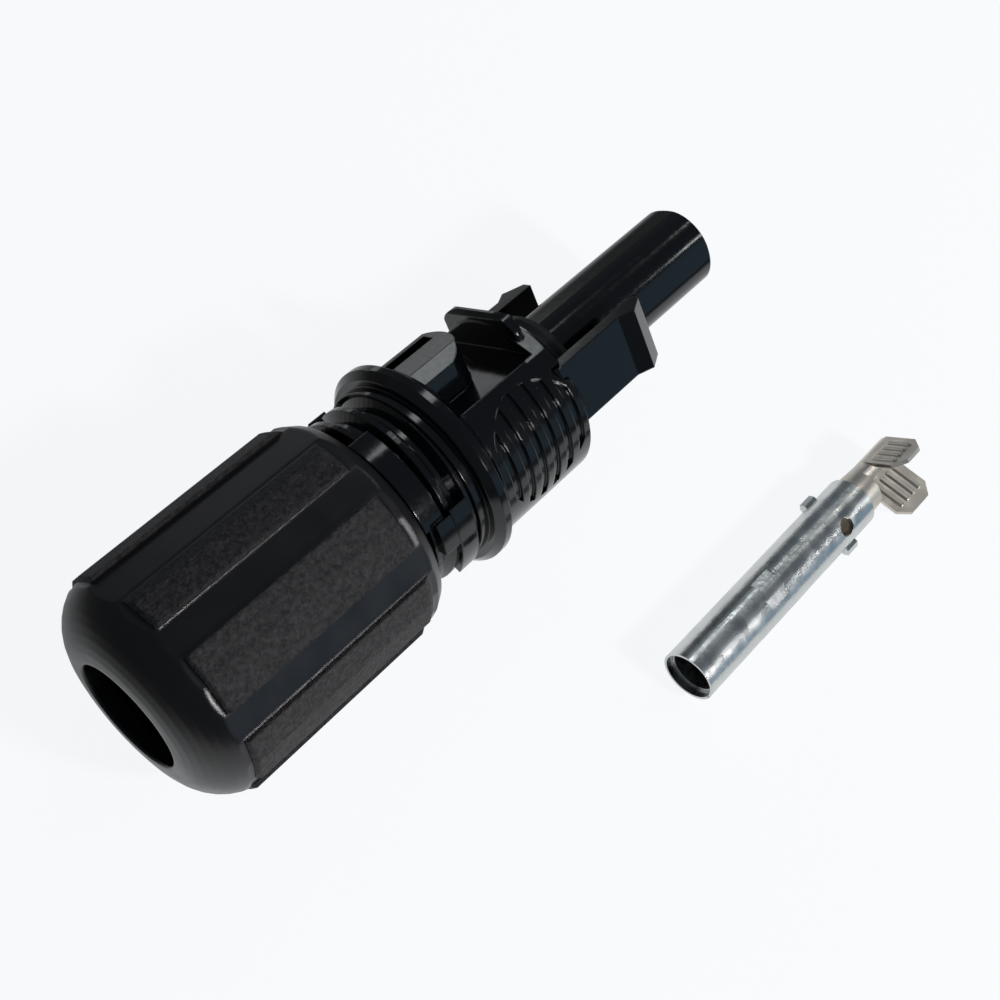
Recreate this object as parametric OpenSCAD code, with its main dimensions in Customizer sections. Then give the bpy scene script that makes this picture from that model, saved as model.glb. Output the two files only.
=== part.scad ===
// Solar cable connector, socket half: a moulded housing with a square probe and two latch
// arms, a gland nut backed off its thread, and the socket contact lying loose beside it.
// The mating face is at x = 0 and the probe points along +X. The connector lies on its side,
// rolled about X, with its nut on the surface below.

/* [Probe and mating face] */
// Width and height of the square probe
probe_w = 7.1; // [7:0.1:8]
// Length of the probe in front of the mating face
probe_len = 22; // [20:0.2:24]
// Corner radius of the probe
probe_corner_r = 2.8; // [2.2:0.1:3.2]
// Radius of the bore that the contact slides into
contact_bore_r = 2.62; // [2.57:0.01:2.8]
// Length of the lip that stops the contact at the probe's tip
tip_lip_len = 1.8; // [1.2:0.1:2.4]
// Diameter of the round seat for the front seal
seal_seat_d = 9.1; // [8.8:0.1:9.6]
// Length of the round seat for the front seal
seal_seat_len = 2.5; // [2:0.1:3.5]

/* [Body] */
// Radius of the grip body
body_r = 7.9; // [7.6:0.1:8.2]
// Distance from the connector's axis down to the grip body's axis
body_drop = 0.8; // [0.4:0.1:1]
// Length from the mating face back to the flange
body_len = 11.2; // [10.5:0.1:13]
// Height of the flat shoulder above the axis
shoulder_h = 4.65; // [4.4:0.05:5]
// Thickness of the wall behind the mating face
front_wall_t = 1.9; // [1.7:0.1:2.4]
// Height of the top rib above the axis
rib_h = 8.1; // [7.6:0.05:8.6]
// Height of the upright tab above the axis
tab_h = 7.85; // [7.2:0.05:8.1]
// Width of the upright tab
tab_w = 8.8; // [7.6:0.1:9.2]
// Thickness of the upright tab
tab_t = 1; // [0.8:0.1:1.4]
// Half width of the top rib's flat
rib_half_w = 2.05; // [1.8:0.05:2.3]

/* [Grip] */
// Number of grip grooves on each side
grip_count = 6; // [4:1:6]
// Spacing of the grip grooves
grip_pitch = 1.55; // [1.4:0.05:1.6]
// Width of a grip groove
grip_groove_w = 0.75; // [0.5:0.05:0.9]
// Depth of a grip groove
grip_depth = 0.25; // [0.2:0.05:0.45]
// Radius of the round grip area
grip_zone_r = 4.9; // [4.5:0.1:5]

/* [Flange and neck] */
// Diameter of the flange
flange_d = 18.8; // [18:0.1:19.4]
// Thickness of the flange
flange_t = 1.9; // [1.6:0.1:2.4]
// Outer diameter of the housing's gland thread
thread_d = 16; // [15.8:0.05:16.2]
// Pitch of the gland thread
thread_pitch = 2; // [1.5:0.1:2.2]
// Depth of the gland thread
thread_depth = 0.85; // [0.7:0.05:0.9]
// Length of the neck behind the flange
neck_len = 17.9; // [17.4:0.1:19]
// Turns by which the nut stands back from tight
open_turns = 3; // [2:0.25:3]

/* [Gland nut] */
// Wall of the nut round its mouth, out to the ridges
nut_wall_t = 1.4; // [1.3:0.05:1.9]
// Length of the nut
nut_len = 23.2; // [23:0.1:25]
// Number of raised grip pads round the nut
pad_count = 8; // [6:1:8]
// Height of the grip pads above the grooves between them
pad_h = 0.4; // [0.25:0.05:0.5]
// Diameter of the cable hole
cable_hole_d = 9.6; // [9:0.1:10.2]

/* [Gland inside] */
// Radius of the chamber that holds the cable seal
chamber_r = 6; // [5.8:0.05:6.1]
// Length of the rubber cable seal
cable_seal_len = 6.8; // [6:0.1:7.4]
// Hole through the cable seal
cable_seal_hole_d = 5.8; // [5:0.1:6.4]
// Number of claw fingers
finger_count = 6; // [5:1:8]
// Width of the slots between the fingers
finger_slot_w = 1; // [0.8:0.1:1.3]

/* [Latch arms] */
// Length of a latch arm in front of the mating face
arm_len = 9.3; // [8.8:0.1:10]
// Thickness of a latch arm
arm_t = 1.25; // [1.1:0.05:1.4]
// How far a latch arm's outer face lies inside the side of the grip body
arm_inset = 0.6; // [0.5:0.05:0.8]
// Height of a latch arm
arm_h = 5.6; // [5:0.1:6]
// How far the barb stands out from the arm
barb_h = 0.75; // [0.5:0.05:0.9]
// Distance from the mating face to the foot of the barb
barb_x = 6.2; // [5.6:0.1:6.6]
// Length of the barb's slope on the side of the mating face
barb_back = 1.3; // [0.8:0.1:1.6]

/* [Socket contact] */
// Outer diameter of the rolled sleeve
sleeve_d = 5; // [4.9:0.02:5.04]
// Length of the rolled sleeve
sleeve_len = 24.8; // [24:0.2:26]
// Metal thickness of the sleeve
sleeve_t = 0.22; // [0.2:0.01:0.24]
// Diameter of the pin that the socket takes
pin_d = 4; // [3.96:0.01:4.02]
// Length of the contact to the rear of its shorter crimp wing
contact_len = 32.4; // [31.5:0.1:34]
// Distance from the connector's axis to the contact's axis on the surface
contact_aside = 27.3; // [22:0.1:40]
// Distance from the mating face back to the contact's mouth
contact_back = 5; // [0:0.1:12]

/* [Hidden] */
$fn = 48;
hair = 0.01;
roll = 47;                 // how far the connector is rolled about its axis
run_gap = 0.1;             // radial clearance of parts that run in each other
seat_gap = 0.1;            // clearance between a seat and the piece on it
seat_r = seal_seat_d / 2;

// Places along the axis, from the mating face backwards
flange_front = -body_len;
flange_rear = flange_front - flange_t;
ring_len = 0.9;
ring_rear = flange_rear - ring_len;
neck_rear = flange_rear - neck_len;
nut_stop_gap = 0.4;
nut_travel = open_turns * thread_pitch;
nut_front = flange_rear - nut_stop_gap - nut_travel;
nut_rear = nut_front - nut_len;

// Radii round the neck
thread_r = thread_d / 2;
neck_r = thread_r - thread_depth;
ring_r = thread_r + 0.2;
pawl_r = thread_r + 0.5;
flange_r = flange_d / 2;

// Nut
mouth_r = pawl_r + run_gap;
nut_r = mouth_r + nut_wall_t;
mouth_depth = 6.2;
mouth_cone = 0.5;
nut_thread_r = neck_r + run_gap;
nut_thread_rear = min(nut_front - mouth_depth - 4, neck_rear - seat_gap);
hole_r = cable_hole_d / 2;
hole_land = 1.6;
cone_len = 3;
nut_chamber_r = nut_thread_r + 0.25;
dome_len = 4.8;
pad_inset = 3.1;             // from the nut's rear to its pads
pad_ends = [nut_rear + pad_inset, nut_front - 1.4];
face_turn = 360 / (3 * pad_count);   // each pad is two faces, each groove is one

// Cable seal and claw
chamber_front = neck_rear + nut_travel + 2.4 + cable_seal_len + 2 * seat_gap;
seal_r = chamber_r - run_gap;
claw_front = neck_rear + 2.4 - seat_gap;
claw_ring_len = 2.6;
claw_rear = nut_rear + hole_land + cone_len - 1.7;
claw_r = chamber_r - 2 * run_gap;
claw_hole_r = 4.6;
head_r = nut_chamber_r - 0.5;
head_front = neck_rear - nut_travel - 0.6;

// Contact
sleeve_r = sleeve_d / 2;
pin_r = pin_d / 2;
socket_r = pin_r + 0.05;
inner_r = sleeve_r - sleeve_t - 0.02;
contact_drop = nut_r * cos(face_turn / 2) - sleeve_r;
crimp_turn = 59;           // the crimp's open side, from straight up towards -Y
crimp_len = 4.4;
crimp_front = contact_len - crimp_len;
crimp_r = 1.95;
crimp_t = 0.4;
wing_flare = 21;           // each wing's angle from the crimp's open direction
sight_turn = 28;
sight_x = 20.9;
sight_r = 0.85;
spring_front = 0.8;
spring_rear = 0.47 * sleeve_len;
lock_x = 21.2;             // from the contact's mouth to its two lock lugs
lug_out = 0.65;
home_x = probe_len - tip_lip_len - 0.2 - lock_x;   // the lugs' place when the contact is home
lug_pocket = [home_x - 1.2, home_x + 1.2];

// Latch arms
arm_out = body_r - arm_inset;
root_r = arm_t / 2;
root_x = -1;
root_y = arm_out - root_r;
arm_rise = 0.25;            // from the axis up to the arms' middle

plastic = [0.07, 0.08, 0.09];
nut_plastic = [0.16, 0.155, 0.16];
rubber = [0.04, 0.04, 0.045];
claw_plastic = [0.10, 0.10, 0.11];
tin = [0.80, 0.81, 0.82];

// The connector lies rolled onto its side
module rolled() rotate([-roll, 0, 0]) children();

// A solid of revolution about X from [radius, x] points
module turned(points) rotate([0, 90, 0]) rotate_extrude() polygon(points);

// A plain cylinder along X
module bar(r, from, to) translate([from, 0, 0]) rotate([0, 90, 0]) cylinder(r = r, h = to - from);

// A tube along X
module tube(r_out, r_in, from, to)
    difference() {
        bar(r_out, from, to);
        bar(r_in, from - 1, to + 1);
    }

// A box along X that is centred across
module beam(size_y, size_z, from, to)
    translate([from, -size_y / 2, -size_z / 2]) cube([to - from, size_y, size_z]);

// A square bar with round corners
module rounded_bar(w, r, from, to) {
    beam(w, w - 2 * r, from, to);
    beam(w - 2 * r, w, from, to);
    for (y = [-1, 1], z = [-1, 1])
        translate([0, y * (w / 2 - r), z * (w / 2 - r)]) bar(r, from, to);
}

// A sector of a ring round X, centred on an angle from straight up towards -Y
module ring_sector(r_in, r_out, from, to, at, span)
    rotate([at + span / 2, 0, 0]) rotate([0, 90, 0]) rotate([0, 0, 180])
        rotate_extrude(angle = -span) translate([r_in, from]) square([r_out - r_in, to - from]);

// Housing: probe, seal seat, grip body, flange and threaded neck in one moulding
module housing() color(plastic) rolled() difference() {
    union() {
        probe();
        grip_body();
        top_rib();
        tab();
        flange_and_neck();
    }
    housing_bores();
    grip_grooves();
    for (side = [-1, 1]) latch_pocket(side);
}

module probe() {
    chamfer = 0.45;
    intersection() {
        rounded_bar(probe_w, probe_corner_r, -1, probe_len);
        turned([[0, -1], [probe_w, -1], [probe_w, probe_len - 2], [probe_w / 2 + 0.75, probe_len - 0.7],
                [probe_w / 2 + 0.75 - 2 * chamfer, probe_len], [0, probe_len]]);
    }
    bar(seat_r, -1, seal_seat_len);
}

// Round body with a flat shoulder on top and a flat at each side of the tab
module grip_body() {
    edge = 0.7;
    flat_turn = 33.4;
    flat_depth = 0.26;
    difference() {
        translate([0, 0, -body_drop])
            turned([[0, flange_rear], [body_r, flange_rear], [body_r, -edge], [body_r - edge, 0], [0, 0]]);
        translate([flange_front - 0.1, -body_r - 1, shoulder_h])
            cube([body_len - front_wall_t + 0.1, 2 * body_r + 2, body_r]);
        for (side = [-1, 1])
            translate([0, 0, -body_drop]) rotate([side * flat_turn, 0, 0])
                translate([-front_wall_t - 1, -body_r / 2, body_r - flat_depth])
                    cube([front_wall_t + 2, body_r, body_r]);
    }
}

// Raised rib along the top with sloped edges, a slot and a front that bulges forward
module top_rib() {
    slope = 1.15;
    rear = flange_front - 0.5;
    front = -4.95;
    slot_w = 1.2;
    base = rib_half_w + slope;
    front_r = base + 0.1;
    difference() {
        intersection() {
            translate([rear, 0, 0]) rotate([90, 0, 90]) linear_extrude(front - rear)
                polygon([[-base, 0], [base, 0], [base, rib_h - 0.75 * slope], [rib_half_w, rib_h],
                         [-rib_half_w, rib_h], [-base, rib_h - 0.75 * slope]]);
            union() {
                translate([front - front_r, 0, -1]) cylinder(r = front_r, h = rib_h + 2);
                translate([rear - 1, -base - 1, -1])
                    cube([front - front_r - rear + 1, 2 * base + 2, rib_h + 2]);
            }
        }
        translate([rear - 1, 0.4, rib_h - 1.2]) cube([front - rear, slot_w, 2]);
    }
}

// Upright tab with round corners, a chamfered top and round ends, standing on the wall of the
// mating face
module tab() {
    corner = 2.2;
    chamfer = 0.35 * tab_t;
    middle = tab_t / 2 - front_wall_t + seat_gap / 2;
    from = middle - tab_t / 2;
    to = middle + tab_t / 2;
    end_y = tab_w / 2 - tab_t / 2;
    intersection() {
        union() {
            beam(tab_w, 2 * (tab_h - corner), from, to);
            beam(tab_w - 2 * corner, 2 * tab_h, from, to);
            for (side = [-1, 1])
                translate([0, side * (tab_w / 2 - corner), tab_h - corner]) bar(corner, from, to);
        }
        union() {
            translate([from, -end_y, 0]) cube([tab_t, 2 * end_y, tab_h + 1]);
            for (side = [-1, 1])
                translate([middle, side * end_y, 0]) cylinder(r = tab_t / 2, h = tab_h + 1);
        }
        translate([0, tab_w, 0]) rotate([90, 0, 0]) linear_extrude(2 * tab_w)
            polygon([[from - 1, 0], [from - 1, tab_h - chamfer - 1], [from, tab_h - chamfer],
                     [from + chamfer, tab_h], [to - chamfer, tab_h], [to, tab_h - chamfer],
                     [to + 1, tab_h - chamfer - 1], [to + 1, 0]]);
    }
}

module flange_and_neck() {
    edge = 0.6;
    foot = 1.1;
    turned([[0, neck_rear], [neck_r - 0.4, neck_rear], [neck_r, neck_rear + 0.4], [neck_r, ring_rear],
            [ring_r, ring_rear], [ring_r, flange_rear], [flange_r - edge, flange_rear],
            [flange_r, flange_rear + edge], [flange_r, flange_front - edge],
            [flange_r - edge, flange_front], [body_r - body_drop, flange_front + foot], [0, flange_front + foot]]);
    for (side = [0, 180]) {
        ring_sector(neck_r - 0.5, pawl_r, ring_rear - 2.5, ring_rear - 0.7, side + 111, 50);
        ring_sector(neck_r - 0.5, pawl_r - 0.06, ring_rear - 4.1, ring_rear - 0.9, side + 98, 20);
        ring_sector(neck_r - 0.5, thread_r, ring_rear - 4.9, ring_rear - 2.9, side + 56, 66);
    }
}

// Bore for the contact, the pocket for its lock lugs, and the chamber of the cable seal
module housing_bores() {
    lug_r = sleeve_r + lug_out + 0.15;
    ledge_r = sleeve_r + 0.45;
    bar(contact_bore_r, lug_pocket[0], probe_len - tip_lip_len);
    bar(pin_r + 0.35, 0, probe_len + 1);
    bar(lug_r, lug_pocket[0], lug_pocket[1]);
    bar(ledge_r, lug_pocket[0] - 2.6, lug_pocket[0] + hair);
    bar(lug_r + 0.25, chamber_front - hair, lug_pocket[0] - 2.6 + hair);
    bar(chamber_r, neck_rear - 1, chamber_front);
}

// Round grip area of straight grooves on both sides
module grip_grooves() {
    middle = -body_len / 2;
    for (i = [0 : grip_count - 1])
        intersection() {
            translate([middle, 0, -1]) rotate([90, 0, 0]) cylinder(r = grip_zone_r, h = 4 * body_r, center = true);
            grip_groove(grip_x(i));
        }
}

// One groove round the body's sides
module grip_groove(at) translate([0, 0, -body_drop]) difference() {
    beam(4 * body_r, 1.6 * body_r, at - grip_groove_w / 2, at + grip_groove_w / 2);
    bar(body_r - grip_depth, at - grip_groove_w, at + grip_groove_w);
}

function grip_x(i) = -body_len / 2 + (i - (grip_count - 1) / 2) * grip_pitch;

// Seat of a latch arm's root, open to the front and wide enough for the arm's swing
module latch_pocket(side) {
    swing = 0.16;
    pocket_h = arm_h + 2 * seat_gap;
    pocket_w = arm_t + 2 * seat_gap + swing;
    translate([root_x, side * root_y, arm_rise - pocket_h / 2]) cylinder(r = root_r + seat_gap, h = pocket_h);
    translate([root_x, side > 0 ? root_y - root_r - seat_gap - swing : -root_y - root_r - seat_gap,
               arm_rise - pocket_h / 2])
        cube([2, pocket_w, pocket_h]);
}

// Rubber ring at the foot of the probe, with two sealing lips
module front_seal() color(rubber) rolled() {
    r = seat_r + 0.02;
    from = seat_gap;
    wall = 0.4;
    lip = 0.12;
    difference() {
        turned([[0, from], [r + wall, from], [r + wall + lip, from + 0.35], [r + wall, from + 0.8],
                [r + wall, from + 1.2], [r + wall + lip, from + 1.65], [r + wall - 0.1, seal_seat_len - 0.1],
                [0, seal_seat_len - 0.1]]);
        bar(r, -1, seal_seat_len + 1);
    }
}

// Latch arm on one side: a round root in the housing's pocket, a flat arm and a barb
module latch_arm(side) {
    out = arm_out;
    in = arm_out - arm_t;
    tip_t = 0.9;
    translate([0, 0, arm_rise - arm_h / 2]) mirror([0, side < 0 ? 1 : 0, 0]) {
        translate([root_x, root_y, 0]) cylinder(r = root_r, h = arm_h);
        linear_extrude(arm_h)
            polygon([[root_x, in], [arm_len, in], [arm_len, in + tip_t], [barb_x + barb_back, out + barb_h],
                     [barb_x, out], [root_x, out]]);
    }
}

module latch_arm_upper() color(plastic) rolled() latch_arm(-1);
module latch_arm_lower() color(plastic) rolled() latch_arm(1);

// Rubber seal round the cable, with ridges outside
module cable_seal() color(rubber) rolled() {
    from = chamber_front - seat_gap - cable_seal_len;
    to = from + cable_seal_len;
    ridges = 3;
    step = cable_seal_len / ridges;
    groove = 0.35;
    difference() {
        turned(concat([[0, from]],
            [for (i = [0 : ridges - 1]) each [[seal_r - groove, from + i * step],
                                              [seal_r, from + (i + 0.3) * step],
                                              [seal_r, from + (i + 0.7) * step],
                                              [seal_r - groove, from + (i + 1) * step - hair]]],
            [[seal_r - groove, to], [0, to]]));
        bar(cable_seal_hole_d / 2, from - 1, to + 1);
    }
}

// Claw: a ring that presses on the seal and slotted fingers that the nut's cone closes
module clamp_claw() color(claw_plastic) rolled() {
    cone_slope = (nut_chamber_r - hole_r) / cone_len;
    head_len = head_front - claw_rear;
    cone_run = min(head_len, (head_r - claw_hole_r - 0.8) / cone_slope);
    difference() {
        turned([[0, claw_rear], [head_r - cone_run * cone_slope, claw_rear], [head_r, claw_rear + cone_run],
                [head_r, head_front - 0.3], [claw_r, head_front + 0.2], [claw_r, claw_front], [0, claw_front]]);
        bar(claw_hole_r, claw_rear - 1, claw_front + 1);
        for (i = [0 : finger_count - 1])
            rotate([i * 360 / finger_count, 0, 0])
                translate([claw_rear - 1, -finger_slot_w / 2, 0])
                    cube([claw_front - claw_ring_len - claw_rear + 1, finger_slot_w, nut_r]);
    }
}

// Gland nut: round dome and mouth, with raised two-faced pads between flat grooves
module gland_nut() color(nut_plastic) difference() {
    union() {
        intersection() {
            nut_outline();
            nut_envelope();
        }
        for (i = [0 : pad_count - 1]) nut_pad(i);
    }
    nut_bores();
}

// Rounded dome behind and chamfer in front
module nut_envelope() {
    rim_r = hole_r + 0.35;
    turned(concat([[0, nut_rear]],
        [for (turn = [0 : 9 : 90]) [rim_r + (nut_r - rim_r) * sin(turn), nut_rear + dome_len * (1 - cos(turn))]],
        [[nut_r, nut_front - 1.7], [nut_r - 1, nut_front], [0, nut_front]]));
}

// A corner on the nut's outline, at an angle from straight down
function nut_corner(turn, r) = r * [sin(turn), -cos(turn)];

// On two opposite sides a pad keeps only one face, beside a wide smooth flat
function is_half(i) = i % floor(pad_count / 2) == floor(pad_count / 2) - 1;

// The polygon of the grooves' faces, one of them straight down
module nut_outline()
    translate([nut_rear, 0, 0]) rotate([90, 0, 90]) linear_extrude(nut_len)
        polygon([for (i = [0 : pad_count - 1], place = is_half(i) ? [0.95, 2.5] : [0.5, 1.5, 2.5])
                 nut_corner((3 * i + place) * face_turn, nut_r - pad_h)]);

// One pad: two faces that meet in a ridge, with a chamfer at each end
module nut_pad(i) {
    at = (i + 0.5) * 360 / pad_count;
    base = nut_r - pad_h - 1;
    half = 0.96 * face_turn;
    bevel = 0.73 * face_turn;
    start = is_half(i) ? nut_corner(at - bevel, nut_r - pad_h - 0.16) : nut_corner(at - half, nut_r);
    end_run = 0.5;
    intersection() {
        translate([pad_ends[0], 0, 0]) rotate([90, 0, 90]) linear_extrude(pad_ends[1] - pad_ends[0])
            polygon([nut_corner(at - (is_half(i) ? bevel : half), base), start, nut_corner(at, nut_r),
                     nut_corner(at + half, nut_r), nut_corner(at + half, base)]);
        turned([[0, pad_ends[0]], [nut_r - pad_h - 0.1, pad_ends[0]], [nut_r + 0.1, pad_ends[0] + end_run],
                [nut_r + 0.1, pad_ends[1] - 2 * end_run], [nut_r - pad_h - 0.1, pad_ends[1]], [0, pad_ends[1]]]);
    }
}

module nut_bores() {
    cone_rear = nut_rear + hole_land;
    turned([[0, nut_rear - 1], [hole_r, nut_rear - 1], [hole_r, cone_rear],
            [nut_chamber_r, cone_rear + cone_len], [nut_chamber_r, nut_thread_rear],
            [nut_thread_r, nut_thread_rear], [nut_thread_r, nut_front - mouth_depth],
            [mouth_r, nut_front - mouth_depth + mouth_cone], [mouth_r, nut_front + 1], [0, nut_front + 1]]);
}

// The contact lies on the surface beside the connector, its mouth towards the cable end
module laid_contact() translate([-contact_back, -contact_aside, -contact_drop]) children();

// Turns a piece that points straight up towards -Y, about the contact's axis
module around(at) rotate([at, 0, 0]) children();

// Rolled sleeve: stepped seam, two stamped flats, sight hole and two lock lugs
module contact_sleeve() color(tin) laid_contact() difference() {
    union() {
        tube(sleeve_r, sleeve_r - sleeve_t, 0, sleeve_len);
        for (at = [-86, 94]) around(at) lock_lug();
    }
    around(92) seam();
    around(sight_turn) translate([sight_x, 0, 0]) cylinder(r = sight_r, h = sleeve_d);
    around(-24) translate([9.6, -0.55, sleeve_r - 0.1]) cube([2.3, 1.1, 1]);
    around(22) translate([9.2, -0.5, sleeve_r - 0.1]) cube([2.6, 1, 1]);
    bar(sleeve_r - sleeve_t, -1, sleeve_len + 1);
}

module lock_lug() {
    rear = lock_x - 0.75;
    translate([rear, -0.45, sleeve_r - 0.15]) rotate([90, 0, 90])
        linear_extrude(1.5) polygon([[0, 0], [0.9, 0], [0.9, lug_out - 0.2], [0.45, lug_out + 0.15],
                                     [0, lug_out - 0.2]]);
}

// Seam slot with three square steps
module seam() {
    slot = 0.12;
    steps = [0, 7.5, 14.3, 17.2, sleeve_len];
    for (i = [0 : len(steps) - 2])
        translate([steps[i] - (i == 0 ? 1 : 0), (i % 2) * 0.5, sleeve_r - sleeve_t - 0.1])
            cube([steps[i + 1] - steps[i] + slot + (i == 0 ? 1 : 0), slot, 1]);
    for (i = [1 : len(steps) - 2])
        translate([steps[i], 0, sleeve_r - sleeve_t - 0.1]) cube([slot, 0.5 + slot, 1]);
}

// Contact body inside the sleeve, with an open neck and a crimp barrel of two flared wings
module contact_body() color(tin) laid_contact() {
    tube_front = spring_rear + 0.4;
    tube_end = sleeve_len - 1.4;
    difference() {
        turned([[socket_r, tube_front], [inner_r, tube_front], [inner_r, tube_end], [crimp_r, crimp_front],
                [crimp_r, contact_len], [crimp_r - crimp_t, contact_len],
                [crimp_r - crimp_t, crimp_front], [socket_r, tube_end]]);
        around(sight_turn) translate([sight_x, 0, 0]) cylinder(r = sight_r - 0.05, h = sleeve_d);
        around(crimp_turn) open_side(crimp_front - 1.2);
        for (side = [-1, 1]) around(crimp_turn + side * wing_flare) open_side(crimp_front + 0.2);
    }
    around(crimp_turn) {
        crimp_wing(1, contact_len, 4);
        crimp_wing(-1, contact_len + 0.8, 4.7);
    }
}

// What is cut from a tube to open it upwards from a place on
module open_side(from) translate([from, -sleeve_d, 0]) cube([20, 2 * sleeve_d, sleeve_d]);

// One wing of the crimp barrel: a flared plate with its free corners cut off
module crimp_wing(side, rear, reach) {
    cut = 1.1;
    lap = 0.4;
    proud = 0.03;
    front = crimp_front + 0.3;
    len = rear - front;
    mirror([0, side < 0 ? 1 : 0, 0]) rotate([-wing_flare, 0, 0])
        translate([front, crimp_r + proud, 0])
        rotate([90, 0, 0]) linear_extrude(crimp_t)
            polygon([[0, -lap], [len, -lap], [len, reach - cut], [len - cut, reach], [cut, reach],
                     [0, reach - cut]]);
}

// Louvred spring band near the mouth that grips the pin
module contact_spring() color(tin) laid_contact() difference() {
    louvres = 8;
    louvre_w = 0.35;
    end_band = 1.4;
    tube(inner_r, socket_r, spring_front, spring_rear);
    for (i = [0 : louvres - 1])
        around((i + 0.5) * 360 / louvres) translate([spring_front + end_band, -louvre_w / 2, 0])
            cube([spring_rear - spring_front - 2 * end_band, louvre_w, sleeve_r]);
}

housing();
front_seal();
latch_arm_upper();
latch_arm_lower();
cable_seal();
clamp_claw();
gland_nut();
contact_sleeve();
contact_body();
contact_spring();
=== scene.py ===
"""Solar cable connector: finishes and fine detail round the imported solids.

The housing, latch arms, gland nut, seals, claw and socket contact are the frame's own solids.
This add-on gives each its finish, and adds the crests of the gland thread on the neck and the
bands embossed in the contact's crimp wings.
"""

import math

import bmesh
import bpy
from bpy.props import FloatProperty, FloatVectorProperty, PointerProperty
from mathutils import Matrix, Vector


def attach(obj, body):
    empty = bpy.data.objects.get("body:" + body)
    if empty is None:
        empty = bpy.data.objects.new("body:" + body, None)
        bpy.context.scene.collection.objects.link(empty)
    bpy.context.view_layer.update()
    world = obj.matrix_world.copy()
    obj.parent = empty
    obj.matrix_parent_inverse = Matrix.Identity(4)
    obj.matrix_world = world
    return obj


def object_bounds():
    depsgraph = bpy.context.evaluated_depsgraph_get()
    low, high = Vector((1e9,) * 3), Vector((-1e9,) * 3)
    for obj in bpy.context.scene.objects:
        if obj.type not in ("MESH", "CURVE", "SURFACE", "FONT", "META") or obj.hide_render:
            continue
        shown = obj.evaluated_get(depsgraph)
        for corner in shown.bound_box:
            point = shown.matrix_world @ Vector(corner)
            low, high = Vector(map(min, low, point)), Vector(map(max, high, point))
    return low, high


bl_info = {
    "name": "Solar Cable Connector",
    "version": (1, 0, 0),
    "blender": (4, 5, 0),
    "location": "View3D > Sidebar > Connector",
    "description": "Finishes and fine detail of a solar cable connector and its socket contact",
    "category": "Object",
}

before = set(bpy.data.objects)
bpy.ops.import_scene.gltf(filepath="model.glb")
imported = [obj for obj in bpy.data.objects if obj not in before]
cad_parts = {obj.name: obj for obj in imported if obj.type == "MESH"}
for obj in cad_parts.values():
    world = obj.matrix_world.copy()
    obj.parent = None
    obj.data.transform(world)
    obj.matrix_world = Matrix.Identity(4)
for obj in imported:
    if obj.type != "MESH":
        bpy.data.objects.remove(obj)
CAD_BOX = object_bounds()
MM = 0.001

HOUSING_PLASTIC = "polished moulded ppo"
CRIMP_COPPER = "dull annealed tin-plated copper"

# How many features of each pattern lie in a millimetre.
FLOW_MARKS = 0.35                    # swirls in the glossy mouldings, about 3 mm wide
DUST = 2.2                           # dull specks on them, about 0.5 mm wide
NUT_CLOUDS = 0.3                     # uneven gloss of the nut's smooth parts, about 3 mm wide
BLOOM = 1.4                          # bloom on the rubber, about 0.7 mm wide
TIN_PATCHES = 0.55                   # soft dents in the plated strip, about 2 mm wide
DRAWN_LINES = (0.25, 5.0, 5.0)       # 4 mm long and 0.2 mm wide, coarser than real so that they show

# Distance from the nut's axis, in millimetres, over which smooth moulding turns to grained pad.
SMOOTH_RADIUS = 9.6
PAD_RADIUS = 9.68

# The thread: facets in one turn, where it starts about the axis in degrees, and half the widths
# of its foot and of its crest as shares of the pitch.
THREAD_STEPS = 72
THREAD_START = -150
THREAD_HALF_FOOT = 0.42
THREAD_HALF_CREST = 0.12

# The two crimp wings as they are in the contact's solid, in millimetres and degrees.
WINGS = ((1, 4.1, 4.0), (-1, 4.9, 4.7))   # side, length along the contact, reach outwards
WING_ROOT = 28.3                     # from the contact's mouth to the wings
WING_OFFSET = 1.78                   # from the contact's axis to the middle of a wing's plate
WING_PLATE = 0.4                     # thickness of the plate
WING_TURN = 59                       # turn of the pair about the axis
WING_FLARE = 21                      # flare of each wing from the pair's middle
BANDS = 4                            # bands on each wing
BAND_MARGIN = 1.4                    # how much shorter a band is than the wing's reach
BAND_DROP = 0.35                     # how far a band's middle is inwards of the wing's middle

# Painted light on the floor, seen only in reflections, in metres: a painted pool of light on the near side
# and a painted strip of light behind the object.
PAINTED_POOL_CENTRE = (-0.005, -0.055, 0.0)
PAINTED_STRIP_CENTRE = (0.012, 0.060, 0.0)
STRIP_SQUEEZE = 0.4                  # the painted strip's width over its length
STRIP_INNER = 0.014                  # half width of the painted strip where its painted light is even
STRIP_OUTER = 0.021                  # half width where its painted light ends
POOL_EVEN = 0.45                     # share of the painted pool's reach that is evenly bright
FLOOR_REACH = 3.0                    # from the middle of the floor to its edge

# Each lamp's name, place and size in metres, power in watts and colour.
LAMPS = (
    ("key lamp", (0.100, -0.365, 0.325), (0.06, 0.06), 1.2, (1.0, 0.97, 0.98)),
    ("soft box", (0.225, 0.255, 0.360), (0.06, 0.12), 0.08, (0.95, 1.0, 1.0)),
    ("wing card", (0.360, 0.100, 0.335), (0.07, 0.07), 0.09, (1.0, 0.97, 0.92)),
    ("sleeve card", (0.350, -0.260, 0.240), (0.07, 0.07), 0.15, (0.97, 1.0, 1.0)),
    ("low card", (0.250, -0.600, 0.150), (0.60, 0.26), 0.11, (0.45, 0.85, 1.2)),
)

CAMERA_PLACE = (-0.0664, -0.0210, 0.1090)
CAMERA_RIGHT = (0.6588, -0.7098, 0.2494)
CAMERA_AHEAD = (0.4603, 0.1181, -0.8799)
CAMERA_LENS = 55.37                  # millimetres, on a sensor 36 mm wide


def linear(colour):
    """An sRGB hex colour as linear red, green and blue."""
    parts = [int(colour[i : i + 2], 16) / 255 for i in (1, 3, 5)]
    return [c / 12.92 if c <= 0.04045 else ((c + 0.055) / 1.055) ** 2.4 for c in parts]


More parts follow.
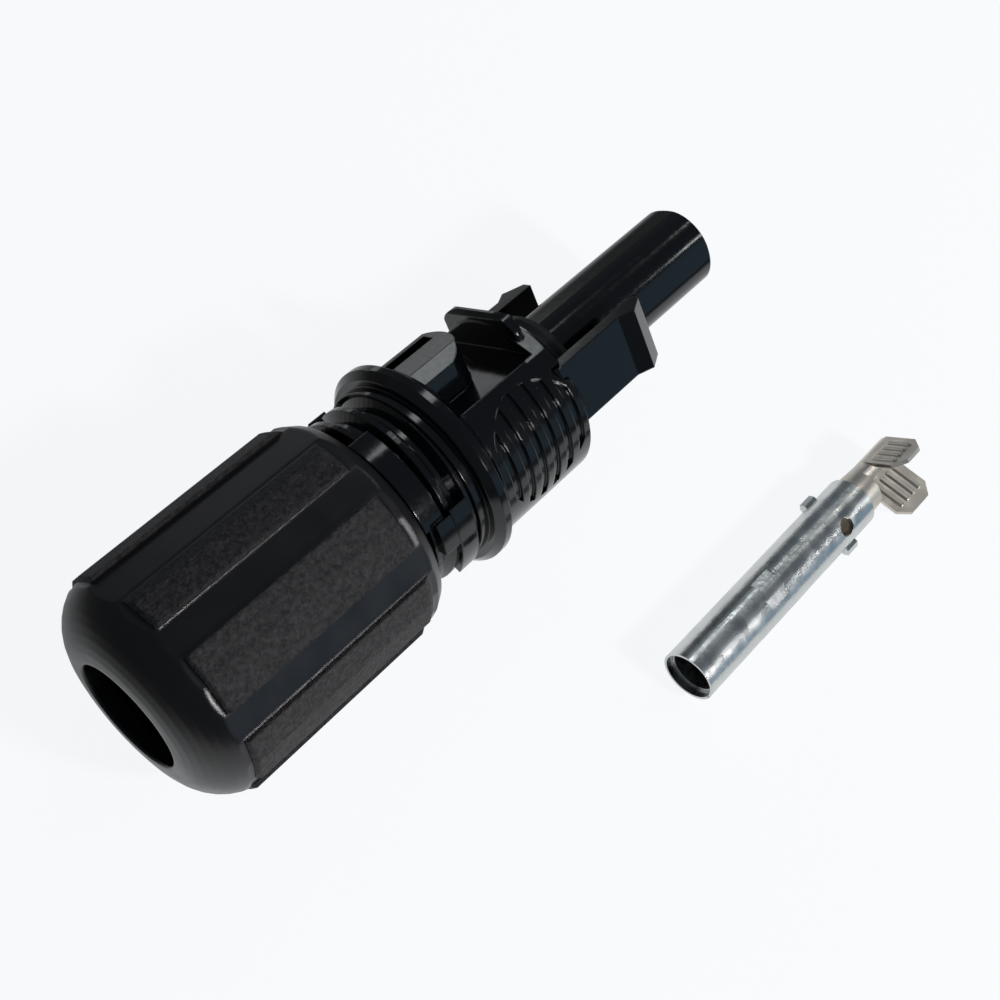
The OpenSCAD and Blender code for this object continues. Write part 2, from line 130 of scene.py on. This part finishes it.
def colour_property(name, description, colour):
    return FloatVectorProperty(
        name=name, description=description, subtype="COLOR", size=3, min=0, max=1, default=linear(colour)
    )


def length_property(name, description, millimetres, **limits):
    return FloatProperty(
        name=name, description=description, subtype="DISTANCE", unit="LENGTH",
        default=millimetres * MM, precision=5, **limits,
    )


class PlasticFinish(bpy.types.PropertyGroup):
    """Colours and surface of the moulded plastic pieces"""

    housing: colour_property("Housing", "Glossy black of the moulded housing", "#07090c")
    nut: colour_property("Nut", "Smooth black between the nut's pads", "#0f0e11")
    pad: colour_property("Pads", "Grained charcoal of the nut's raised pads", "#272526")
    claw: colour_property("Claw", "Black of the clamping claw", "#101012")
    rubber: colour_property("Rubber", "Black of both rubber seals", "#0b0b0c")
    edge: length_property("Edge radius", "Radius of the housing's moulded edges", 0.16, min=0.0)
    nut_edge: length_property("Nut edge radius", "Radius of the nut's softer edges", 0.4, min=0.0)
    grain: length_property("Grain", "Width of one grain of the pads' texture", 0.42, min=0.00005)


class ThreadSizes(bpy.types.PropertyGroup):
    """Crests of the gland thread on the housing's neck"""

    pitch: length_property("Pitch", "Distance from one crest to the next", 2.0, min=0.0005)
    crest: length_property("Crest radius", "Radius of the thread at its crest", 7.95, min=0.0075)
    root: length_property(
        "Root radius", "Radius that the thread starts from, inside the neck", 7.1, min=0.0065,
    )
    front: length_property("Front", "Where the thread starts on the neck", -13.17)
    rear: length_property("Rear", "Where the thread ends on the neck", -18.5)


class ContactFinish(bpy.types.PropertyGroup):
    """Colour of the tinned contact, and the bands pressed into its crimp wings"""

    tin: colour_property("Tin", "Bright tin plating of the sleeve", "#cfd2d1")
    crimp: colour_property("Crimp", "Duller, warmer tin plating of the crimp", "#d6d0c6")
    axis: FloatVectorProperty(
        name="Axis", description="Mouth of the contact, on its axis", subtype="TRANSLATION", unit="LENGTH",
        size=3, precision=5, default=(-0.005, -0.0273, -0.007414),
    )
    band: length_property("Band", "Width of one embossed band", 0.55, min=0.0001)
    rise: length_property("Rise", "Height of one embossed band", 0.18, min=0.00002)


class StageSizes(bpy.types.PropertyGroup):
    """Floor and lights"""

    floor: colour_property("Floor", "White of the paper on the floor", "#fbfdff")
    # Reach of the painted pool of light: the floor's painted glow in reflections fades out over this
    # distance.
    painted_pool_reach: length_property(
        "Sheet", "Distance over which the lit paper darkens in reflections", 112.0, min=0.02,
    )
    power: FloatProperty(name="Power", description="Strength of all the lamps", default=1.0, min=0)


def add(tree, kind, links=None, **settings):
    """Adds a node with its settings, then links its inputs: {input: (node, output)}."""
    node = tree.nodes.new(kind)
    for key, value in settings.items():
        if key.startswith("in_"):
            name = key[3:]
            socket = node.inputs[int(name) if name.isdigit() else name.replace("_", " ")]
            socket.default_value = value
        else:
            setattr(node, key, value)
    for name, (source, output) in (links or {}).items():
        tree.links.new(source.outputs[output], node.inputs[name])
    return node


def new_material(name):
    """A material with its shader, and the object's coordinates in millimetres."""
    material = bpy.data.materials.new(name)
    material.use_nodes = True
    tree = material.node_tree
    tree.nodes.clear()
    place = add(tree, "ShaderNodeTexCoord")
    millimetres = add(
        tree, "ShaderNodeMapping", {"Vector": (place, "Object")}, in_Scale=(1 / MM, 1 / MM, 1 / MM),
    )
    shader = add(tree, "ShaderNodeBsdfPrincipled")
    add(tree, "ShaderNodeOutputMaterial", {"Surface": (shader, "BSDF")})
    return material, tree, millimetres, shader


def finish(node, material):
    """Gives a CAD node its material."""
    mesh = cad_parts[node].data
    mesh.materials.clear()
    mesh.materials.append(material)


def moulded_gloss(name, colour, edge, roughness=0.1):
    """Glass-smooth PPO from a polished mould, with faint flow marks and rounded edges."""
    material, tree, millimetres, shader = new_material(name)
    flow = add(tree, "ShaderNodeTexNoise", {"Vector": (millimetres, 0)}, in_Scale=FLOW_MARKS, in_Detail=3.0)
    dust = add(tree, "ShaderNodeTexNoise", {"Vector": (millimetres, 0)}, in_Scale=DUST, in_Detail=4.0)
    rough = add(
        tree, "ShaderNodeMapRange", {"Value": (dust, 0)},
        in_From_Min=0.35, in_From_Max=0.75, in_To_Min=roughness, in_To_Max=roughness + 0.06,
    )
    rounded = add(tree, "ShaderNodeBevel", samples=6, in_Radius=edge)
    bump = add(
        tree, "ShaderNodeBump", {"Height": (flow, 0), "Normal": (rounded, 0)},
        in_Strength=0.3, in_Distance=0.05 * MM,
    )
    shader.inputs["Base Color"].default_value = (*colour, 1)
    shader.inputs["IOR"].default_value = 1.52
    tree.links.new(rough.outputs[0], shader.inputs["Roughness"])
    tree.links.new(bump.outputs[0], shader.inputs["Normal"])
    return material


def moulded_pads(name, groove, pad, grain, edge):
    """Nylon nut: spark-eroded grain on the raised pads, smooth moulding in the grooves and dome.

    The grain is drawn coarser than real erosion, so that it shows.
    """
    material, tree, millimetres, shader = new_material(name)
    split = add(tree, "ShaderNodeSeparateXYZ", {"Vector": (millimetres, 0)})
    across = add(tree, "ShaderNodeCombineXYZ", {"Y": (split, "Y"), "Z": (split, "Z")})
    radius = add(tree, "ShaderNodeVectorMath", {"Vector": (across, 0)}, operation="LENGTH")
    on_pad = add(
        tree, "ShaderNodeMapRange", {"Value": (radius, "Value")}, interpolation_type="SMOOTHSTEP",
        in_From_Min=SMOOTH_RADIUS, in_From_Max=PAD_RADIUS,
    )
    speckle = add(
        tree, "ShaderNodeTexNoise", {"Vector": (millimetres, 0)},
        in_Scale=MM / grain, in_Detail=4.0, in_Roughness=0.75,
    )
    cloud = add(tree, "ShaderNodeTexNoise", {"Vector": (millimetres, 0)}, in_Scale=NUT_CLOUDS, in_Detail=2.0)
    height = add(tree, "ShaderNodeMath", {0: (speckle, 0), 1: (on_pad, 0)}, operation="MULTIPLY")
    rounded = add(tree, "ShaderNodeBevel", samples=6, in_Radius=edge)
    bump = add(
        tree, "ShaderNodeBump", {"Height": (height, 0), "Normal": (rounded, 0)},
        in_Strength=1.0, in_Distance=0.2 * MM,
    )
    tint = add(
        tree, "ShaderNodeMix", {0: (on_pad, 0)}, data_type="RGBA", in_6=(*groove, 1), in_7=(*pad, 1),
    )
    dots = add(
        tree, "ShaderNodeMapRange", {"Value": (speckle, 0)},
        in_From_Min=0.38, in_From_Max=0.64, in_To_Min=0.0, in_To_Max=2.2,
    )
    shaded = add(
        tree, "ShaderNodeMix", {0: (on_pad, 0), 6: (tint, 2), 7: (dots, 0)},
        data_type="RGBA", blend_type="MULTIPLY",
    )
    smooth = add(
        tree, "ShaderNodeMapRange", {"Value": (cloud, 0)},
        in_From_Min=0.3, in_From_Max=0.7, in_To_Min=0.26, in_To_Max=0.36,
    )
    rough = add(tree, "ShaderNodeMix", {0: (on_pad, 0), 2: (smooth, 0)}, data_type="FLOAT", in_3=0.62)
    tree.links.new(shaded.outputs[2], shader.inputs["Base Color"])
    tree.links.new(rough.outputs[0], shader.inputs["Roughness"])
    tree.links.new(bump.outputs[0], shader.inputs["Normal"])
    shader.inputs["IOR"].default_value = 1.53
    return material


def rubber(name, colour):
    """EPDM rubber: dull, with a fine dusty bloom."""
    material, tree, millimetres, shader = new_material(name)
    bloom = add(tree, "ShaderNodeTexNoise", {"Vector": (millimetres, 0)}, in_Scale=BLOOM, in_Detail=5.0)
    rough = add(
        tree, "ShaderNodeMapRange", {"Value": (bloom, 0)},
        in_From_Min=0.3, in_From_Max=0.7, in_To_Min=0.55, in_To_Max=0.72,
    )
    bump = add(tree, "ShaderNodeBump", {"Height": (bloom, 0)}, in_Strength=0.2, in_Distance=0.02 * MM)
    shader.inputs["Base Color"].default_value = (*colour, 1)
    shader.inputs["IOR"].default_value = 1.52
    tree.links.new(rough.outputs[0], shader.inputs["Roughness"])
    tree.links.new(bump.outputs[0], shader.inputs["Normal"])
    return material


def tin_plate(name, colour, roughness):
    """Rolled copper strip with tin plating: drawn lines along it, soft dents and dull patches."""
    material, tree, millimetres, shader = new_material(name)
    along = add(tree, "ShaderNodeMapping", {"Vector": (millimetres, 0)}, in_Scale=DRAWN_LINES)
    drawn = add(tree, "ShaderNodeTexNoise", {"Vector": (along, 0)}, in_Scale=1.0, in_Detail=4.0)
    patch = add(tree, "ShaderNodeTexNoise", {"Vector": (millimetres, 0)}, in_Scale=TIN_PATCHES, in_Detail=5.0)
    rough = add(
        tree, "ShaderNodeMapRange", {"Value": (patch, 0)},
        in_From_Min=0.35, in_From_Max=0.7, in_To_Min=roughness, in_To_Max=roughness + 0.16,
    )
    rounded = add(tree, "ShaderNodeBevel", samples=4, in_Radius=0.05 * MM)
    ripple = add(
        tree, "ShaderNodeBump", {"Height": (drawn, 0), "Normal": (rounded, 0)},
        in_Strength=0.35, in_Distance=0.03 * MM,
    )
    dents = add(
        tree, "ShaderNodeBump", {"Height": (patch, 0), "Normal": (ripple, 0)},
        in_Strength=0.5, in_Distance=0.12 * MM,
    )
    shader.inputs["Base Color"].default_value = (*colour, 1)
    shader.inputs["Metallic"].default_value = 1.0
    tree.links.new(rough.outputs[0], shader.inputs["Roughness"])
    tree.links.new(dents.outputs[0], shader.inputs["Normal"])
    return material


def new_piece(name, shape, body, material):
    """A finished piece from a bmesh, in place in the row frame, riding on a body."""
    mesh = bpy.data.meshes.new(name)
    shape.to_mesh(mesh)
    shape.free()
    mesh.materials.append(material)
    piece = bpy.data.objects.new(name, mesh)
    bpy.context.scene.collection.objects.link(piece)
    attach(piece, body)


class CONNECTOR_OT_housing(bpy.types.Operator):
    """Polished black plastic for the housing and its two latch arms"""

    bl_idname = "connector.housing"
    bl_label = "Housing and Latch Arms"

    def execute(self, context):
        plastic = context.scene.connector_plastic
        material = moulded_gloss(HOUSING_PLASTIC, plastic.housing, plastic.edge)
        for node in ("housing", "latch_arm_upper", "latch_arm_lower"):
            finish(node, material)
        return {"FINISHED"}


class CONNECTOR_OT_thread(bpy.types.Operator):
    """Crests of the gland thread between the flange and the nut"""

    bl_idname = "connector.thread"
    bl_label = "Neck Thread"

    def execute(self, context):
        sizes = context.scene.connector_thread
        turns = (sizes.front - sizes.rear) / sizes.pitch
        depth = sizes.crest - sizes.root
        half_foot = THREAD_HALF_FOOT * sizes.pitch
        half_crest = THREAD_HALF_CREST * sizes.pitch
        profile = [(-half_foot, 0.0), (-half_crest, depth), (half_crest, depth), (half_foot, 0.0)]
        start = Matrix.Rotation(math.radians(THREAD_START), 3, "X")
        shape = bmesh.new()
        ring = [shape.verts.new(start @ Vector((sizes.front + x, 0, sizes.root + r))) for x, r in profile]
        edges = [shape.edges.new((ring[i], ring[(i + 1) % 4])) for i in range(4)]
        bmesh.ops.spin(
            shape, geom=ring + edges, cent=(0, 0, 0), axis=(1, 0, 0), angle=2 * math.pi * turns,
            steps=round(THREAD_STEPS * turns), dvec=(-sizes.pitch / THREAD_STEPS, 0, 0), use_merge=False,
        )
        bmesh.ops.holes_fill(shape, edges=[e for e in shape.edges if e.is_boundary], sides=4)
        bmesh.ops.recalc_face_normals(shape, faces=shape.faces)
        new_piece("neck_thread", shape, "housing", bpy.data.materials[HOUSING_PLASTIC])
        return {"FINISHED"}


class CONNECTOR_OT_nut(bpy.types.Operator):
    """Grained pads and smooth grooves for the gland nut, and dull black for the claw inside it"""

    bl_idname = "connector.nut"
    bl_label = "Gland Nut"

    def execute(self, context):
        plastic = context.scene.connector_plastic
        finish("gland_nut", moulded_pads(
            "spark-grained nylon", plastic.nut, plastic.pad, plastic.grain, plastic.nut_edge,
        ))
        finish("clamp_claw", moulded_gloss(
            "moulded nylon claw", plastic.claw, plastic.edge / 2, roughness=0.4,
        ))
        return {"FINISHED"}


class CONNECTOR_OT_seals(bpy.types.Operator):
    """Dull rubber for the front seal and the cable seal"""

    bl_idname = "connector.seals"
    bl_label = "Rubber Seals"

    def execute(self, context):
        material = rubber("moulded epdm rubber", context.scene.connector_plastic.rubber)
        for node in ("front_seal", "cable_seal"):
            finish(node, material)
        return {"FINISHED"}


class CONNECTOR_OT_contact(bpy.types.Operator):
    """Tin plating for the socket contact: bright on the sleeve and spring, dull on the crimp"""

    bl_idname = "connector.contact"
    bl_label = "Socket Contact"

    def execute(self, context):
        sizes = context.scene.connector_contact
        bright = tin_plate("bright tin-plated copper", sizes.tin, roughness=0.2)
        for node in ("contact_sleeve", "contact_spring"):
            finish(node, bright)
        finish("contact_body", tin_plate(CRIMP_COPPER, sizes.crimp, roughness=0.36))
        return {"FINISHED"}


class CONNECTOR_OT_serrations(bpy.types.Operator):
    """Bands embossed across both crimp wings"""

    bl_idname = "connector.serrations"
    bl_label = "Crimp Serrations"

    def execute(self, context):
        sizes = context.scene.connector_contact
        shape = bmesh.new()
        for side, length, reach in WINGS:
            for band in range(BANDS):
                place = (
                    Matrix.Translation(sizes.axis)
                    @ Matrix.Rotation(math.radians(WING_TURN - side * WING_FLARE), 4, "X")
                    @ Matrix.Translation((
                        (WING_ROOT + (band + 1) * length / (BANDS + 1)) * MM,
                        side * WING_OFFSET * MM,
                        (reach / 2 - BAND_DROP) * MM,
                    ))
                    @ Matrix.Diagonal((
                        sizes.band, WING_PLATE * MM + 2 * sizes.rise, (reach - BAND_MARGIN) * MM, 1,
                    ))
                )
                cube = bmesh.ops.create_cube(shape, size=1.0, matrix=place)
                bmesh.ops.bevel(
                    shape, geom=list({e for v in cube["verts"] for e in v.link_edges}), offset=sizes.rise,
                    offset_type="OFFSET", segments=3, profile=0.5, affect="EDGES", material=-1,
                )
        bmesh.ops.recalc_face_normals(shape, faces=shape.faces)
        new_piece("crimp_serrations", shape, "contact", bpy.data.materials[CRIMP_COPPER])
        return {"FINISHED"}


class CONNECTOR_OT_stage(bpy.types.Operator):
    """White floor with painted light in its reflections, soft lights and the camera"""

    bl_idname = "connector.stage"
    bl_label = "Stage"

    def execute(self, context):
        stage = context.scene.connector_stage
        self.floor(context, stage.floor, stage.painted_pool_reach)
        self.world(context)
        self.lamps(context, stage.power)
        self.camera(context)
        context.scene.view_settings.view_transform = "Standard"
        return {"FINISHED"}

    def floor(self, context, colour, painted_pool_reach):
        """White paper: it is seen white with a faint shadow; in reflections it shows a painted glow, bright
        in a painted pool and a painted strip and dim elsewhere.
        """
        low = Matrix.Translation((0, 0, CAD_BOX[0].z))
        shape = bmesh.new()
        bmesh.ops.create_grid(shape, x_segments=1, y_segments=1, size=FLOOR_REACH, matrix=low)
        mesh = bpy.data.meshes.new("floor")
        shape.to_mesh(mesh)
        shape.free()
        material = bpy.data.materials.new("matt white paper")
        material.use_nodes = True
        tree = material.node_tree
        tree.nodes.clear()
        place = add(tree, "ShaderNodeTexCoord")
        # Painted pool of light: the paper's glow in reflections is brightest near this centre and fades
        # outwards.
        away = add(
            tree, "ShaderNodeVectorMath", {0: (place, "Object")}, operation="DISTANCE", in_1=PAINTED_POOL_CENTRE,
        )
        pool = add(
            tree, "ShaderNodeMapRange", {"Value": (away, "Value")}, interpolation_type="SMOOTHSTEP",
            in_From_Min=POOL_EVEN * painted_pool_reach, in_From_Max=painted_pool_reach, in_To_Min=0.9, in_To_Max=0.08,
        )
        # Painted strip of light behind the object, seen in reflections.
        squeezed = add(
            tree, "ShaderNodeVectorMath", {0: (place, "Object")},
            operation="MULTIPLY", in_1=(STRIP_SQUEEZE, 1, 1),
        )
        beyond = add(
            tree, "ShaderNodeVectorMath", {0: (squeezed, 0)}, operation="DISTANCE",
            in_1=(STRIP_SQUEEZE * PAINTED_STRIP_CENTRE[0], *PAINTED_STRIP_CENTRE[1:]),
        )
        strip = add(
            tree, "ShaderNodeMapRange", {"Value": (beyond, "Value")}, interpolation_type="SMOOTHSTEP",
            in_From_Min=STRIP_INNER, in_From_Max=STRIP_OUTER, in_To_Min=0.95, in_To_Max=0.0,
        )
        painted_light = add(tree, "ShaderNodeMath", {0: (pool, 0), 1: (strip, 0)}, operation="MAXIMUM")
        paper = add(tree, "ShaderNodeBsdfDiffuse", in_Color=(0.6, 0.6, 0.6, 1))
        white = add(tree, "ShaderNodeEmission", in_Color=(*colour, 1), in_Strength=1.12)
        # Painted glow: the paper shines by itself in reflections, as bright as the painted pool and strip.
        lit = add(tree, "ShaderNodeEmission", {"Strength": (painted_light, 0)}, in_Color=(*colour, 1))
        rays = add(tree, "ShaderNodeLightPath")
        # Glossy rays see mostly the painted glow; the camera sees mostly even white, with the paper's faint
        # shadow.
        mirrored = add(tree, "ShaderNodeMath", {0: (rays, "Is Glossy Ray")}, operation="MULTIPLY", in_1=0.9)
        seen = add(tree, "ShaderNodeMath", {0: (rays, "Is Camera Ray")}, operation="MULTIPLY", in_1=0.82)
        reflected = add(tree, "ShaderNodeMixShader", {0: (mirrored, 0), 1: (paper, 0), 2: (lit, 0)})
        mix = add(tree, "ShaderNodeMixShader", {0: (seen, 0), 1: (reflected, 0), 2: (white, 0)})
        add(tree, "ShaderNodeOutputMaterial", {"Surface": (mix, 0)})
        mesh.materials.append(material)
        floor = bpy.data.objects.new("floor", mesh)
        context.scene.collection.objects.link(floor)

    def world(self, context):
        """A dim, cool room, which only the camera sees as white."""
        world = bpy.data.worlds.new("studio")
        context.scene.world = world
        world.use_nodes = True
        tree = world.node_tree
        tree.nodes.clear()
        rays = add(tree, "ShaderNodeLightPath")
        fill = add(tree, "ShaderNodeBackground", in_Color=(0.8, 0.95, 1.1, 1), in_Strength=0.12)
        white = add(tree, "ShaderNodeBackground", in_Color=(0.965, 0.985, 1, 1), in_Strength=0.965)
        mix = add(tree, "ShaderNodeMixShader", {0: (rays, "Is Camera Ray"), 1: (fill, 0), 2: (white, 0)})
        add(tree, "ShaderNodeOutputWorld", {"Surface": (mix, 0)})

    def lamps(self, context, power):
        """A small key lamp, a soft box over the far side, and three dim cards, all facing the part."""
        for name, place, size, watts, colour in LAMPS:
            data = bpy.data.lights.new(name, "AREA")
            data.color = colour
            data.shape = "RECTANGLE"
            data.size, data.size_y = size
            data.energy = power * watts
            lamp = bpy.data.objects.new(name, data)
            lamp.location = place
            lamp.rotation_mode = "QUATERNION"
            lamp.rotation_quaternion = (-Vector(place)).to_track_quat("-Z", "Y")
            context.scene.collection.objects.link(lamp)

    def camera(self, context):
        """A camera above the nut's end, looking down along the connector."""
        right = Vector(CAMERA_RIGHT).normalized()
        ahead = Vector(CAMERA_AHEAD).normalized()
        up = right.cross(ahead).normalized()
        right = ahead.cross(up).normalized()
        data = bpy.data.cameras.new("camera")
        data.lens = CAMERA_LENS
        data.sensor_width = 36.0
        data.clip_start = 0.005
        camera = bpy.data.objects.new("camera", data)
        turn = Matrix((right, up, -ahead)).transposed().to_4x4()
        camera.matrix_world = Matrix.Translation(CAMERA_PLACE) @ turn
        context.scene.collection.objects.link(camera)
        context.scene.camera = camera


class CONNECTOR_PT_panel(bpy.types.Panel):
    """Sizes, colours and steps of the connector"""

    bl_label = "Connector"
    bl_space_type = "VIEW_3D"
    bl_region_type = "UI"
    bl_category = "Connector"

    def draw(self, context):
        scene = context.scene
        for group in GROUPS:
            box = self.layout.box()
            settings = getattr(scene, group)
            for name in settings.bl_rna.properties.keys():
                if name not in ("name", "rna_type"):
                    box.prop(settings, name)
        for operator in OPERATORS:
            self.layout.operator(operator.bl_idname)


GROUPS = {
    "connector_plastic": PlasticFinish,
    "connector_thread": ThreadSizes,
    "connector_contact": ContactFinish,
    "connector_stage": StageSizes,
}
OPERATORS = (
    CONNECTOR_OT_housing,
    CONNECTOR_OT_thread,
    CONNECTOR_OT_nut,
    CONNECTOR_OT_seals,
    CONNECTOR_OT_contact,
    CONNECTOR_OT_serrations,
    CONNECTOR_OT_stage,
)
CLASSES = (*GROUPS.values(), *OPERATORS, CONNECTOR_PT_panel)


def register():
    for cls in CLASSES:
        bpy.utils.register_class(cls)
    for name, group in GROUPS.items():
        setattr(bpy.types.Scene, name, PointerProperty(type=group))


def unregister():
    for name in GROUPS:
        delattr(bpy.types.Scene, name)
    for cls in reversed(CLASSES):
        bpy.utils.unregister_class(cls)


def main():
    register()
    for operator in OPERATORS:
        area, step = operator.bl_idname.split(".")
        getattr(getattr(bpy.ops, area), step)()


if __name__ == "__main__":
    main()
